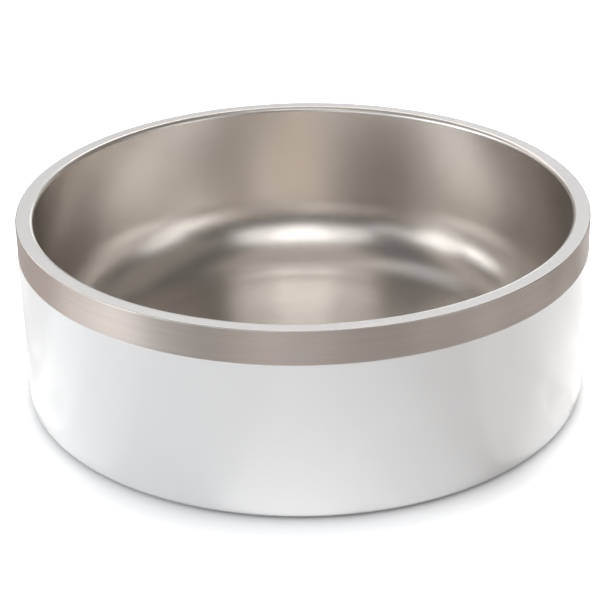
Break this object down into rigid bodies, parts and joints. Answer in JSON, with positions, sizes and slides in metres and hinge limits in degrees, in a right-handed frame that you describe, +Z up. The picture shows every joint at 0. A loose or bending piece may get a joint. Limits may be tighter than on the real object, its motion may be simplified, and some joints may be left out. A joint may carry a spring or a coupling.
{
  "type": "pet bowl",
  "caption": "Round straight-sided pet bowl: a drawn steel liner inside a coated steel shell, joined at a flat polished rim, with a rubber grip ring underneath.",
  "frame": {"origin": "centre of the circle that the grip ring stands on, at table height", "axes": "+Z up along the bowl's axis; +X and +Y are any two square directions, because the bowl is round"},
  "size_m": [0.215, 0.215, 0.073],
  "materials": {
    "liner_steel": "satin",
    "band_steel": "brushed round the bowl",
    "rim_steel": "polished",
    "white_coat": "gloss",
    "base_steel": "satin",
    "weld_steel": "ground",
    "ring_rubber": "matte",
    "bond": "matte"
  },
  "bodies": {
    "root": {"inner_bowl": "liner_steel", "outer_shell": "band_steel", "rim_weld": "rim_steel", "powder_coat": "white_coat", "base_plate": "base_steel", "base_weld": "weld_steel", "grip_ring": "ring_rubber", "grip_ring_bond": "bond"}
  },
  "joints": []
}
